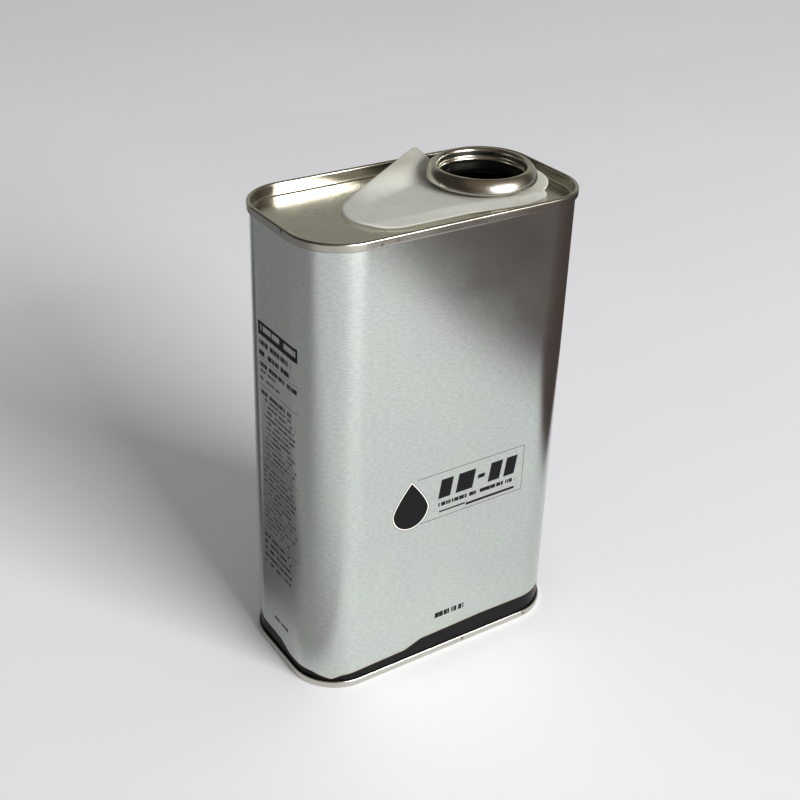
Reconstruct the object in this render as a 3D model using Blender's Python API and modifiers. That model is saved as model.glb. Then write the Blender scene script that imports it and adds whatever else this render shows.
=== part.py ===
"""A one-litre oblong motor oil can in tinplate, with a loose plastic tab held round its neck.

Metres, +Z up. The origin is at the centre of the base, on the surface that the can stands on.
+X runs along the long side towards the neck, and +Y towards the back.
"""

import math

import bmesh
import bpy
import numpy as np
from mathutils import Vector

# The can
BODY_LENGTH = 0.1113  # over the outside of the body wall
BODY_WIDTH = 0.0591
BODY_CORNER_RADIUS = 0.01755
CAN_HEIGHT = 0.180  # over both double seams
BODY_SHEET = 0.00022  # tinplate of the wrap
END_SHEET = 0.00024  # tinplate of the two ends

# The double seams: five layers of sheet, with a small gap between each
LAP_GAP = 0.00008
SEAM_HEIGHT = 0.0031
BODY_HOOK_LENGTH = 0.0014  # straight part of the body's turned-over edge
END_HOOK_LENGTH = 0.0012  # straight part of the end's turned-up edge
SEAM_TOP_GAP = 0.00030  # room over the body hook for the sealing compound
COMPOUND_SHEET = 0.00014

# The recessed panels of the two ends
PANEL_DEPTH = 0.0045
PANEL_BEND_RADIUS = 0.0007
BASE_BEAD_INSET = 0.0085  # from the base's countersink wall to its stiffening step
BASE_BEAD_RISE = 0.0008
BASE_BEAD_RUN = 0.0012

# The neck, drawn up from the top end and curled outwards
NECK_X = 0.0275  # neck centre, from the can's middle
NECK_WALL_RADIUS = 0.0157  # inside of the neck wall
NECK_BEAD_DEPTH = 0.0006  # how far the bead narrows the bore
NECK_BEAD_BEND = 45  # degrees of each of the bead's bends
NECK_BEAD_DROP = 0.0014  # from the lip's bend to the bead
NECK_RISE = 0.0097  # lip above the recessed panel
NECK_ROOT_RADIUS = 0.0022
LIP_RADIUS = 0.00115
NECK_FLANK_RADIUS = 0.0060  # of the collar's rounded slope
CURL_RADIUS = 0.0198  # outside of the curl, at its widest
CURL_DROP = 0.0043  # from the lip to the curl's widest part
CURL_BEND_RADIUS = 0.0007
CURL_HEM_LENGTH = 0.0013

# The plastic tab: two circles joined by their outer tangents, with a hole for the neck
TAB_SHEET = 0.0005
TAB_NEAR_RADIUS = 0.0232  # round the neck
TAB_FAR_RADIUS = 0.0168  # at the free end
TAB_REACH = 0.0411  # between the centres of the two circles
TAB_TURN = 4.1  # degrees that it is swung round the neck at rest
TAB_NECK_CLEARANCE = 0.0007
TAB_CURL_CLEARANCE = 0.0005  # from the curl to where the back edge starts to rise
TAB_HEIGHT = 0.0028  # middle of the sheet above the panel, beside the neck
TAB_END_DROP = 0.0014  # how much lower the free end lies
TAB_DROOP = 0.0006  # of the front edge
TAB_CREASE_WIDTH = 0.0055  # from the crease along the front to the front edge
TAB_EAR_RISE = 0.0090  # the pinched-up corner of the back edge
TAB_EAR_X = 0.0125
TAB_EAR_START = -0.0208  # the back edge rises from here to the corner
TAB_EAR_END = 0.0235  # and is down again here
TAB_BEND_OFFSET = 0.0065  # the line that the back edge bends up along, at the can's middle
TAB_BEND_SLOPE = 0.27
FOLD_X = -0.0060  # where the free end bends up
FOLD_GAP = 0.0006

# Facets
CORNER_STEPS = 8
BEND_STEPS = 5  # an odd number keeps one flat facet along the edge that the can stands on
RING_POINTS = 4 * (CORNER_STEPS + 1)

# Where the middle of each layer of a double seam lies, outwards from the outside of the body
BODY_WALL = -BODY_SHEET / 2
COUNTERSINK_WALL = -BODY_SHEET - LAP_GAP - END_SHEET / 2
END_HOOK = LAP_GAP + END_SHEET / 2
BODY_HOOK = 2 * LAP_GAP + END_SHEET + BODY_SHEET / 2
SEAM_WALL = 3 * LAP_GAP + END_SHEET + BODY_SHEET + END_SHEET / 2

# The bends between those layers, and the heights of their centres in the top seam
SEAM_TOP_RADIUS = (SEAM_WALL - COUNTERSINK_WALL) / 2
END_HOOK_RADIUS = (SEAM_WALL - END_HOOK) / 2
BODY_HOOK_RADIUS = (BODY_HOOK - BODY_WALL) / 2
SEAM_TOP_Z = CAN_HEIGHT - END_SHEET / 2 - SEAM_TOP_RADIUS
END_HOOK_Z = CAN_HEIGHT - SEAM_HEIGHT + END_SHEET / 2 + END_HOOK_RADIUS
BODY_HOOK_Z = CAN_HEIGHT - END_SHEET - SEAM_TOP_GAP - BODY_SHEET / 2 - BODY_HOOK_RADIUS

PANEL_Z = CAN_HEIGHT - PANEL_DEPTH - END_SHEET / 2
TAB_Z = CAN_HEIGHT - PANEL_DEPTH + TAB_HEIGHT
TAB_HOLE_RADIUS = NECK_WALL_RADIUS + END_SHEET + TAB_NECK_CLEARANCE


def clear_scene():
    for old in list(bpy.data.objects):
        bpy.data.objects.remove(old, do_unlink=True)


def new_collection(name):
    collection = bpy.data.collections.new(name)
    bpy.context.scene.collection.children.link(collection)
    return collection


def new_material(name, colour, roughness, metallic):
    material = bpy.data.materials.new(name)
    material.use_nodes = True
    shader = material.node_tree.nodes["Principled BSDF"]
    shader.inputs["Base Color"].default_value = (*colour, 1.0)
    shader.inputs["Roughness"].default_value = roughness
    shader.inputs["Metallic"].default_value = metallic
    return material


def formed_line(start, heading, moves):
    """The line that a sheet follows as it is formed, as points. ("run", length) goes straight
    on; ("bend", radius, degrees, steps) turns, to the left where degrees is positive."""
    points = [Vector(start)]
    angle = math.radians(heading)
    for kind, size, *turn in moves:
        if kind == "run":
            points.append(points[-1] + size * Vector((math.cos(angle), math.sin(angle))))
            continue
        degrees, steps = turn
        reach = math.copysign(size, degrees)
        centre = points[-1] + reach * Vector((-math.sin(angle), math.cos(angle)))
        for _ in range(steps):
            angle += math.radians(degrees) / steps
            points.append(centre - reach * Vector((-math.sin(angle), math.cos(angle))))
    return points


def body_ring(outset, z):
    """The can's rounded rectangle at height z, outset from the outside of the body wall. Each
    quarter of its points is one corner's arc, so the straight sides lie between them."""
    quarter = np.repeat(np.arange(4), CORNER_STEPS + 1)
    step = np.tile(np.arange(CORNER_STEPS + 1), 4)
    angle = np.pi / 2 * (quarter + step / CORNER_STEPS)
    across = np.array([1, -1, -1, 1])[quarter] * (BODY_LENGTH / 2 - BODY_CORNER_RADIUS)
    deep = np.array([1, 1, -1, -1])[quarter] * (BODY_WIDTH / 2 - BODY_CORNER_RADIUS)
    radius = BODY_CORNER_RADIUS + outset
    return np.column_stack(
        [across + radius * np.cos(angle), deep + radius * np.sin(angle), np.full(len(angle), z)]
    )


def neck_ring(radius, z):
    """A circle round the neck, with a point for each point of the body's ring."""
    angle = 2 * np.pi * (np.arange(RING_POINTS) + 0.5) / RING_POINTS
    return np.column_stack(
        [NECK_X + radius * np.cos(angle), radius * np.sin(angle), np.full(RING_POINTS, z)]
    )


def end_line():
    """The edge of the top end, outwards from its recessed panel: up the countersink wall, over
    the seam, down outside it, and up again behind the body hook. Points are (outset, z)."""
    return formed_line(
        (COUNTERSINK_WALL - PANEL_BEND_RADIUS, PANEL_Z),
        0,
        [
            ("bend", PANEL_BEND_RADIUS, 90, 2),
            ("run", SEAM_TOP_Z - PANEL_Z - PANEL_BEND_RADIUS),
            ("bend", SEAM_TOP_RADIUS, -180, BEND_STEPS),
            ("run", SEAM_TOP_Z - END_HOOK_Z),
            ("bend", END_HOOK_RADIUS, -180, BEND_STEPS),
            ("run", END_HOOK_LENGTH),
        ],
    )


def body_line():
    """The wrap, from its lower hook up the wall to its upper hook, as (outset, z) points."""
    upper = formed_line(
        (BODY_WALL, BODY_HOOK_Z),
        90,
        [("bend", BODY_HOOK_RADIUS, -180, BEND_STEPS), ("run", BODY_HOOK_LENGTH)],
    )
    lower = [Vector((outset, CAN_HEIGHT - z)) for outset, z in upper]
    return lower[::-1] + upper


def compound_line():
    """The sealing compound in the top seam: an arc midway between the body hook and the end."""
    radius = (BODY_HOOK_RADIUS + BODY_SHEET / 2 + SEAM_TOP_RADIUS - END_SHEET / 2) / 2
    centre = Vector(((BODY_HOOK + BODY_WALL) / 2, (BODY_HOOK_Z + SEAM_TOP_Z) / 2))
    start = centre + radius * Vector((math.cos(math.pi / 4), math.sin(math.pi / 4)))
    return formed_line(start, 135, [("bend", radius, 90, 3)])


def neck_line():
    """The neck's sheet, from the panel up inside the neck, over the lip and down the sloping
    outside of the curl to its hem, as (radius, z) points."""
    wall = NECK_WALL_RADIUS + END_SHEET / 2
    lip_top = CAN_HEIGHT - PANEL_DEPTH + NECK_RISE
    bead_radius = NECK_BEAD_DEPTH / 2 / (1 - math.cos(math.radians(NECK_BEAD_BEND)))
    bead_height = 4 * bead_radius * math.sin(math.radians(NECK_BEAD_BEND))
    lip = Vector((wall + LIP_RADIUS, lip_top - END_SHEET / 2 - LIP_RADIUS))
    curl = Vector((CURL_RADIUS - END_SHEET / 2 - CURL_BEND_RADIUS, lip_top - CURL_DROP))
    # The flank's bend is so large that both the lip's and the curl's bend touch it from inside.
    between = curl - lip
    lip_reach = NECK_FLANK_RADIUS - LIP_RADIUS
    curl_reach = NECK_FLANK_RADIUS - CURL_BEND_RADIUS
    along = (lip_reach**2 - curl_reach**2 + between.length**2) / 2 / between.length
    inwards = Vector((between.y, -between.x)).normalized() * math.sqrt(lip_reach**2 - along**2)
    centre = lip + between.normalized() * along + inwards
    flank_start = math.degrees(math.atan2(lip.y - centre.y, lip.x - centre.x)) - 90
    flank_end = math.degrees(math.atan2(curl.y - centre.y, curl.x - centre.x)) - 90
    wall_low = PANEL_Z + NECK_ROOT_RADIUS
    wall_high = lip.y - NECK_BEAD_DROP - bead_height
    return formed_line(
        (wall + NECK_ROOT_RADIUS, PANEL_Z),
        180,
        [
            ("bend", NECK_ROOT_RADIUS, -90, 3),
            ("run", wall_high - wall_low),
            ("bend", bead_radius, NECK_BEAD_BEND, 2),
            ("bend", bead_radius, -2 * NECK_BEAD_BEND, 4),
            ("bend", bead_radius, NECK_BEAD_BEND, 2),
            ("run", NECK_BEAD_DROP),
            ("bend", LIP_RADIUS, flank_start - 90, 5),
            ("bend", NECK_FLANK_RADIUS, flank_end - flank_start, 3),
            ("bend", CURL_BEND_RADIUS, -190 - flank_end, 5),
            ("run", CURL_HEM_LENGTH),
        ],
    )


def arc(centre_x, radius, first, last, steps):
    angle = np.radians(np.linspace(first, last, steps + 1))
    return np.stack([centre_x + radius * np.cos(angle), radius * np.sin(angle)], 1)


def tab_outline():
    """The tab's flat outline, with the neck's centre at the origin and the free end at -X."""
    lean = 90 + math.degrees(math.asin((TAB_NEAR_RADIUS - TAB_FAR_RADIUS) / TAB_REACH))
    near = arc(0, TAB_NEAR_RADIUS, -lean, lean, 16)
    far = arc(-TAB_REACH, TAB_FAR_RADIUS, lean, 360 - lean, 10)
    share = np.linspace(0, 1, 9)[1:-1, None]
    back = near[-1] + (far[0] - near[-1]) * share
    front = far[-1] + (near[0] - far[-1]) * share
    return np.concatenate([near, back, far, front])


def tab_edge_y(x, side):
    """Where the tab's straight edge lies at x, at the back (side 1) or the front (side -1)."""
    lean = math.asin((TAB_NEAR_RADIUS - TAB_FAR_RADIUS) / TAB_REACH)
    turn = math.radians(TAB_TURN)
    slope = math.tan(side * lean + turn)
    return side * TAB_NEAR_RADIUS / math.cos(side * lean + turn) + (x - NECK_X) * slope


def draped(points):
    """Heights for the tab's flat points: level by the neck, lower at its free end, drooping
    beyond a crease along the front, and bent up along the back to a pinched corner."""
    x, y = points[:, 0], points[:, 1]
    curl_reach = CURL_RADIUS + TAB_CURL_CLEARANCE
    end_x = NECK_X - TAB_REACH - TAB_FAR_RADIUS
    level = np.clip((x - end_x) / (NECK_X - curl_reach - end_x), 0, 1)
    z = TAB_Z - TAB_END_DROP * (1 - level)

    front = tab_edge_y(x, -1)
    over_crease = np.clip((front + TAB_CREASE_WIDTH - y) / TAB_CREASE_WIDTH, 0, 1)
    z -= TAB_DROOP * over_crease

    beside_curl = np.sqrt(np.clip(curl_reach**2 - (x - NECK_X) ** 2, 0, None))
    bend = np.maximum(TAB_BEND_OFFSET + TAB_BEND_SLOPE * x, beside_curl)
    back = tab_edge_y(x, 1)
    up = np.clip((y - bend) / (back - bend), 0, 1) ** 1.5
    rising = (x - TAB_EAR_START) / (TAB_EAR_X - TAB_EAR_START)
    falling = (TAB_EAR_END - x) / (TAB_EAR_END - TAB_EAR_X)
    z += TAB_EAR_RISE * up * np.clip(np.minimum(rising, falling), 0, 1)
    return np.column_stack([x, y, z])


def tab_rings():
    """Rings of the draped tab, from its neck hole out to its edge."""
    outline = tab_outline()
    hole = outline * (TAB_HOLE_RADIUS / np.linalg.norm(outline, axis=1, keepdims=True))
    turn = math.radians(TAB_TURN)
    turned = np.array([[math.cos(turn), math.sin(turn)], [-math.sin(turn), math.cos(turn)]])
    shares = (0, 0.3, 0.55, 0.78, 1)
    return [draped((hole + (outline - hole) * s) @ turned + (NECK_X, 0)) for s in shares]


def lofted(name, rings, material, sheet, capped=False):
    """A surface through rings of equal length, with Solidify for its sheet thickness. Its last
    ring is closed with one face if it is capped."""
    count = len(rings[0])
    mesh = bmesh.new()
    rows = [[mesh.verts.new(point) for point in ring] for ring in rings]
    for row, following in zip(rows, rows[1:]):
        for i in range(count):
            j = (i + 1) % count
            mesh.faces.new((row[i], row[j], following[j], following[i]))
    if capped:
        mesh.faces.new(rows[-1])
    bmesh.ops.recalc_face_normals(mesh, faces=mesh.faces)
    data = bpy.data.meshes.new(name)
    mesh.to_mesh(data)
    mesh.free()
    data.materials.append(material)
    data.shade_smooth()
    data.set_sharp_from_angle(angle=math.radians(40))
    made = bpy.data.objects.new(name, data)
    can.objects.link(made)
    shell = made.modifiers.new("sheet", "SOLIDIFY")
    shell.thickness = sheet
    shell.offset = 0.0
    shell.use_even_offset = True
    return made


def at_base(line):
    """The same line turned over, for the base."""
    return [Vector((outset, CAN_HEIGHT - z)) for outset, z in line]


def hung_from(made, origin):
    """Moves the object's origin to a point on its joint's axis, and leaves its shape in place."""
    for vertex in made.data.vertices:
        vertex.co -= origin
    made.location = origin


def add_body():
    rings = [body_ring(outset, z) for outset, z in body_line()]
    lofted("body_shell", rings, printed, BODY_SHEET)


def add_top_end():
    neck = [neck_ring(radius, z) for radius, z in reversed(neck_line())]
    edge = [body_ring(outset, z) for outset, z in end_line()]
    lofted("top_end", neck + edge, tinplate, END_SHEET)


def add_bottom_end():
    edge = at_base(end_line())
    floor = edge[0]
    step = Vector((floor.x - BASE_BEAD_INSET, floor.y))
    raised = step + Vector((-BASE_BEAD_RUN, BASE_BEAD_RISE))
    rings = [body_ring(outset, z) for outset, z in edge[::-1] + [step, raised]]
    lofted("bottom_end", rings, tinplate, END_SHEET, capped=True)


def add_seam_compounds():
    for name, line in (
        ("top_seam_compound", compound_line()),
        ("bottom_seam_compound", at_base(compound_line())),
    ):
        lofted(name, [body_ring(outset, z) for outset, z in line], lining, COMPOUND_SHEET)


def add_cutter(name, low_x, high_x):
    """A box that takes away the tab between two values of x."""
    reach = BODY_LENGTH
    bpy.ops.mesh.primitive_cube_add(size=1, location=((low_x + high_x) / 2, 0, CAN_HEIGHT))
    cutter = bpy.context.object
    cutter.name = name
    cutter.dimensions = (high_x - low_x, reach, reach / 2)
    bpy.ops.object.transform_apply(location=False, rotation=False, scale=True)
    for collection in list(cutter.users_collection):
        collection.objects.unlink(cutter)
    cutters.objects.link(cutter)
    cutter.hide_render = True
    cutter.display_type = "WIRE"
    return cutter


def add_tab():
    """The tab in two solids that meet along its fold: the part round the neck, which swings
    round it, and the free end, which bends up."""
    neck_part = lofted("neck_tab", tab_rings(), plastic, TAB_SHEET)
    free_end = lofted("neck_tab_free_end", tab_rings(), plastic, TAB_SHEET)
    cuts = (
        (neck_part, "free_end_cutter", -BODY_LENGTH, FOLD_X + FOLD_GAP / 2),
        (free_end, "neck_part_cutter", FOLD_X - FOLD_GAP / 2, BODY_LENGTH),
    )
    for piece, name, low_x, high_x in cuts:
        cut = piece.modifiers.new("fold", "BOOLEAN")
        cut.operation = "DIFFERENCE"
        cut.solver = "EXACT"
        cut.object = add_cutter(name, low_x, high_x)
    hung_from(neck_part, Vector((NECK_X, 0, TAB_Z)))
    fold_edge = draped(np.array([[FOLD_X, float(tab_edge_y(FOLD_X, -1))]]))[0]
    hung_from(free_end, Vector(fold_edge))


clear_scene()
can = new_collection("motor_oil_can")
cutters = new_collection("cutters")
printed = new_material("printed_tinplate", (0.55, 0.56, 0.54), 0.36, 0.9)
tinplate = new_material("bare_tinplate", (0.62, 0.62, 0.60), 0.32, 1.0)
lining = new_material("seam_compound", (0.55, 0.50, 0.42), 0.8, 0.0)
plastic = new_material("tab_plastic", (0.78, 0.79, 0.76), 0.45, 0.0)

add_body()
add_top_end()
add_bottom_end()
add_seam_compounds()
add_tab()
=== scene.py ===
"""The looks of a one-litre oblong tinplate oil can with a loose plastic tab round its neck.

Metres, +Z up, with the origin at the centre of the base. +X runs along the long side towards the
neck, and +Y towards the back.
"""

import math

import bmesh
import bpy
import numpy as np
from mathutils import Matrix, Vector


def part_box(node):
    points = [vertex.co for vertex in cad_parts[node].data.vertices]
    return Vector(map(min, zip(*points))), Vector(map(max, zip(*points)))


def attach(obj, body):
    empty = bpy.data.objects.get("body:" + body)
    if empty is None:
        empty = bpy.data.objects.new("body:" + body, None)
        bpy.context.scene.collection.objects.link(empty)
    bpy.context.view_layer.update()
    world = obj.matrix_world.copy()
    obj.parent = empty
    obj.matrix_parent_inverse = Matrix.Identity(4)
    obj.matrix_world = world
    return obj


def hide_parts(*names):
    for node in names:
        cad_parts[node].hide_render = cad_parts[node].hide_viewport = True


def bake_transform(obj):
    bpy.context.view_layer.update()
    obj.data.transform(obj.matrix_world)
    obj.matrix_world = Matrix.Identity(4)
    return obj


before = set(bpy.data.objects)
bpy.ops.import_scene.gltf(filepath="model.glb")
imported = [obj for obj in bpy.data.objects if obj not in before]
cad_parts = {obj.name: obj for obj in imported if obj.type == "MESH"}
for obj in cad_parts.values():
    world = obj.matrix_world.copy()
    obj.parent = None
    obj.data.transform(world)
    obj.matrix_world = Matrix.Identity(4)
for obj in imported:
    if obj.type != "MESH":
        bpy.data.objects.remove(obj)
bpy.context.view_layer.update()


# ---------------------------------------------------------------- body wrap
# One sheet of tinplate, printed flat, bent round to a rounded rectangle and joined by a narrow
# lap weld at the back of the short left side. Both its ends are turned over into the seams.

BODY_SHEET = 0.00022
LAP_GAP = 0.00008  # between the layers of a double seam
END_SHEET = 0.00024
CORNER_RADIUS = 0.01755
HOOK_LENGTH = 0.0014
HOOK_TOP = 0.00054  # from the top of the seam down to the top of the body's hook
BODY_HOOK = 2 * LAP_GAP + END_SHEET + BODY_SHEET / 2
BODY_WALL = -BODY_SHEET / 2
HOOK_RADIUS = (BODY_HOOK - BODY_WALL) / 2

shell_low, shell_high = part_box("body_shell")
CAN_HEIGHT = shell_low.z + shell_high.z
SIDE_REACH = shell_high.x - BODY_HOOK - BODY_SHEET / 2  # from the middle to the short side's wall
FACE_REACH = shell_high.y - BODY_HOOK - BODY_SHEET / 2
CORNER_X = SIDE_REACH - CORNER_RADIUS
CORNER_Y = FACE_REACH - CORNER_RADIUS
SHORT_RUN = 2 * CORNER_Y
LONG_RUN = 2 * CORNER_X
CORNER_RUN = math.pi / 2 * CORNER_RADIUS

# Lengths round the wrap, from the back of the left side by way of the front.
WRAP_ENDS = np.cumsum([0, *([SHORT_RUN, CORNER_RUN, LONG_RUN, CORNER_RUN] * 2)])
WRAP_LENGTH = WRAP_ENDS[-1]
WELD_PLACE = WRAP_LENGTH - 0.0007
WELD_WIDTH = 0.00035
WELD_PROUD = 0.00005
BULGE = 0.00006  # how far the flat sides wander in and out


def stations():
    """Lengths round the wrap at which its rings have points: even steps along each side and round
    each corner, with a stretch of fine steps across the weld at the end."""
    steps = (16, 24, 44, 24, 16, 24, 44, 20)
    ends = [*WRAP_ENDS[:-1], WRAP_LENGTH - 0.0016]
    pieces = [np.linspace(a, b, n, endpoint=False) for a, b, n in zip(ends, ends[1:], steps)]
    return np.concatenate([*pieces, np.linspace(ends[-1], WRAP_LENGTH, 18, endpoint=False)])


def wrap_place(length):
    """The centre that each length round the wrap is bent about, and the way that it faces. Both
    change evenly: the centre moves only along the sides, and the heading turns only round corners."""
    x = np.interp(length, WRAP_ENDS, CORNER_X * np.array([-1, -1, -1, 1, 1, 1, 1, -1, -1]))
    y = np.interp(length, WRAP_ENDS, CORNER_Y * np.array([1, -1, -1, -1, -1, 1, 1, 1, 1]))
    facing = np.interp(length, WRAP_ENDS, np.pi / 2 * np.array([2, 2, 3, 3, 4, 4, 5, 5, 6]))
    return np.column_stack([x, y]), np.column_stack([np.cos(facing), np.sin(facing)])


def round_the_can(outset, height):
    """Points on rings round the can: centre + (corner radius + outset) * facing, at each height.
    Outset is measured outwards from the outside of the wall, and may differ round a ring."""
    centre, facing = wrap_place(stations())
    outset = np.broadcast_to(np.reshape(outset, (len(height), -1)), (len(height), len(facing)))
    flat = centre + (CORNER_RADIUS + outset)[..., None] * facing
    rise = np.broadcast_to(np.reshape(height, (-1, 1, 1)), (*outset.shape, 1))
    return np.concatenate([flat, rise], axis=2)


def formed_line(start, heading, moves):
    """The line that a sheet follows as it is formed, as (outset, height) points. A run goes
    straight on for its length; a bend is an arc, last point + radius * (across(angle) -
    across(angle before)), where across is the heading turned by a quarter to the right."""
    line = [np.array([start], float)]
    angle = math.radians(heading)
    for kind, size, *turn in moves:
        last = line[-1][-1]
        if kind == "run":
            share = np.linspace(0, 1, (turn[0] if turn else 1) + 1)[1:, None]
            line.append(last + size * share * (math.cos(angle), math.sin(angle)))
            continue
        degrees, steps = turn
        swept = angle + np.radians(degrees) * np.linspace(0, 1, steps + 1)
        across = math.copysign(size, degrees) * np.column_stack([np.sin(swept), -np.cos(swept)])
        line.append(last + across[1:] - across[0])
        angle = swept[-1]
    return np.concatenate(line)


def two_faced(middle, sheet):
    """Both faces of a sheet from its middle surface, a grid of (rows, ring) points: middle + half
    the sheet * normal, and then back again in reverse at middle - half the sheet * normal. The
    normal is the cross product of the way round the ring and the way across the rows."""
    round_ring = np.roll(middle, -1, 1) - np.roll(middle, 1, 1)
    across = np.gradient(middle, axis=0)
    normal = np.cross(round_ring, across)
    normal /= np.maximum(np.linalg.norm(normal, axis=2, keepdims=True), 1e-15)
    return np.concatenate([middle + sheet / 2 * normal, (middle - sheet / 2 * normal)[::-1]])


def surface(name, points, around=None, up=None):
    """A closed mesh with one quad between each four neighbours of a (rows, ring) grid that closes
    both ways. Its UV map holds metres: the length round the ring, and each row's own height."""
    rows, ring = points.shape[:2]
    index = np.arange(rows * ring).reshape(rows, ring)
    right, above = np.roll(index, -1, 1), np.roll(index, -1, 0)
    quads = np.stack([index, right, np.roll(above, -1, 1), above], 2).reshape(-1, 4)
    mesh = bpy.data.meshes.new(name)
    mesh.from_pydata(points.reshape(-1, 3).tolist(), [], quads.tolist())
    if around is not None:
        u = np.broadcast_to(around[:-1], (rows, ring))
        following = np.broadcast_to(around[1:], (rows, ring))
        v = np.broadcast_to(up[:, None], (rows, ring))
        over = np.broadcast_to(np.roll(up, -1)[:, None], (rows, ring))
        corners = np.stack([u, v, following, v, following, over, u, over], 2)
        layer = mesh.uv_layers.new(name="wrap")
        layer.uv.foreach_set("vector", corners.reshape(-1).astype(np.float32))
    mesh.polygons.foreach_set("use_smooth", np.ones(len(quads), bool))
    mesh.update()
    made = bpy.data.objects.new(name, mesh)
    bpy.context.scene.collection.objects.link(made)
    return made


def body_line():
    """The wrap from its lower hook up the wall to its upper hook, as (outset, height) points."""
    bend_height = CAN_HEIGHT - HOOK_TOP - BODY_SHEET / 2 - HOOK_RADIUS
    wall = bend_height - CAN_HEIGHT / 2
    upper = formed_line(
        (BODY_WALL, CAN_HEIGHT / 2),
        90,
        [("run", wall, 48), ("bend", HOOK_RADIUS, -180, 10), ("run", HOOK_LENGTH, 2)],
    )
    lower = upper * (1, -1) + (0, CAN_HEIGHT)
    return np.concatenate([lower[:0:-1], upper])


def wandering(length, height):
    """How far each place on the wall lies off its true shape: a long shallow wave that fades to
    nothing at the corners and the seams, and a narrow hump, exp(-(distance / width)^2), at the weld."""
    _, facing = wrap_place(length)
    on_side = np.clip(1 - 12 * np.minimum(abs(facing[:, 0]), abs(facing[:, 1])), 0, 1)
    seam_fade = np.clip(np.minimum(height - 0.006, CAN_HEIGHT - 0.006 - height) / 0.02, 0, 1)
    wave = np.sin(length / 0.0113 + 1.7 * np.sin(height[:, None] / 0.031))
    wave = wave * np.cos(height[:, None] / 0.0236 + length / 0.034)
    hump = np.exp(-(((length - WELD_PLACE) / WELD_WIDTH) ** 2))
    clear = np.clip(np.minimum(height - 0.0045, CAN_HEIGHT - 0.0045 - height) / 0.003, 0, 1)
    return seam_fade[:, None] * BULGE * wave * on_side + clear[:, None] * WELD_PROUD * hump


line = body_line()
on_wall = np.isclose(line[:, 0], BODY_WALL)
outsets = line[:, :1] + np.where(on_wall[:, None], wandering(stations(), line[:, 1]), 0)
faces = two_faced(round_the_can(outsets, line[:, 1]), BODY_SHEET)
heights = np.concatenate([line[:, 1], np.full(len(line), -0.01)])
body_wrap = surface("body_wrap", faces, np.append(stations(), WRAP_LENGTH), heights)


class Nodes:
    """Short ways to add shader nodes to one tree. Each takes sockets or plain values as inputs."""

    def __init__(self, tree):
        self.tree = tree

    def add(self, kind, inputs=None, **settings):
        node = self.tree.nodes.new(kind)
        for name, value in settings.items():
            setattr(node, name, value)
        for name, value in (inputs or {}).items():
            if isinstance(value, bpy.types.NodeSocket):
                self.tree.links.new(value, node.inputs[name])
            else:
                node.inputs[name].default_value = value
        return node

    def calc(self, operation, *values, clamp=False):
        inputs = dict(enumerate(values))
        return self.add("ShaderNodeMath", inputs, operation=operation, use_clamp=clamp).outputs[0]

    def mix(self, share, first, second):
        inputs = {0: share, 6: first, 7: second}
        return self.add("ShaderNodeMix", inputs, data_type="RGBA").outputs[2]

    def step(self, value, low, high):
        """0 below low, 1 above high, and smooth between them. Low may be the larger."""
        inputs = {"Value": value, "From Min": low, "From Max": high}
        node = self.add("ShaderNodeMapRange", inputs, interpolation_type="SMOOTHSTEP")
        return node.outputs["Result"]

    def noise(self, vector, scale, detail=2.0, roughness=0.5):
        inputs = {"Vector": vector, "Scale": scale, "Detail": detail, "Roughness": roughness}
        return self.add("ShaderNodeTexNoise", inputs).outputs["Fac"]

    def stretched(self, vector, scale):
        inputs = {"Vector": vector, "Scale": scale}
        return self.add("ShaderNodeMapping", inputs).outputs["Vector"]

    def group(self, tree, inputs):
        node = self.add("ShaderNodeGroup", node_tree=tree)
        for name, value in inputs.items():
            if isinstance(value, bpy.types.NodeSocket):
                self.tree.links.new(value, node.inputs[name])
            else:
                node.inputs[name].default_value = value
        return node.outputs


def new_group(name, inputs, outputs):
    """An empty shader group with these sockets, as its Nodes, its inputs and its output node."""
    tree = bpy.data.node_groups.new(name, "ShaderNodeTree")
    for socket, kind in inputs.items():
        tree.interface.new_socket(socket, in_out="INPUT", socket_type=f"NodeSocket{kind}")
    for socket, kind in outputs.items():
        tree.interface.new_socket(socket, in_out="OUTPUT", socket_type=f"NodeSocket{kind}")
    nodes = Nodes(tree)
    return nodes, nodes.add("NodeGroupInput").outputs, nodes.add("NodeGroupOutput").inputs


def new_material(name):
    """A material as its Nodes and its Principled shader."""
    material = bpy.data.materials.new(name)
    material.use_nodes = True
    shader = material.node_tree.nodes["Principled BSDF"]
    return material, Nodes(material.node_tree), shader


def brushed_grain():
    """Fine streaks along the first axis of the vector, as a value near 0.5: long noise, squeezed
    across, and broken up by a second, shorter noise. Blotches are slow changes of the same surface."""
    nodes, given, made = new_group(
        "brushed_grain",
        {"Vector": "Vector", "Streak": "Vector", "Blotch": "Float"},
        {"Grain": "Float", "Blotches": "Float"},
    )
    combed = nodes.add(
        "ShaderNodeVectorMath",
        {0: given["Vector"], 1: given["Streak"]},
        operation="MULTIPLY",
    ).outputs[0]
    long_streaks = nodes.noise(combed, 1.0, 3.0, 0.6)
    short_streaks = nodes.noise(nodes.stretched(combed, (3.1, 2.3, 2.3)), 1.0, 2.0, 0.5)
    long_part = nodes.calc("MULTIPLY", long_streaks, 0.6)
    short_part = nodes.calc("MULTIPLY", short_streaks, 0.4)
    blotches = nodes.noise(given["Vector"], given["Blotch"], 3.0, 0.55)
    nodes.tree.links.new(nodes.calc("ADD", long_part, short_part), made["Grain"])
    nodes.tree.links.new(blotches, made["Blotches"])
    return nodes.tree


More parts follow.
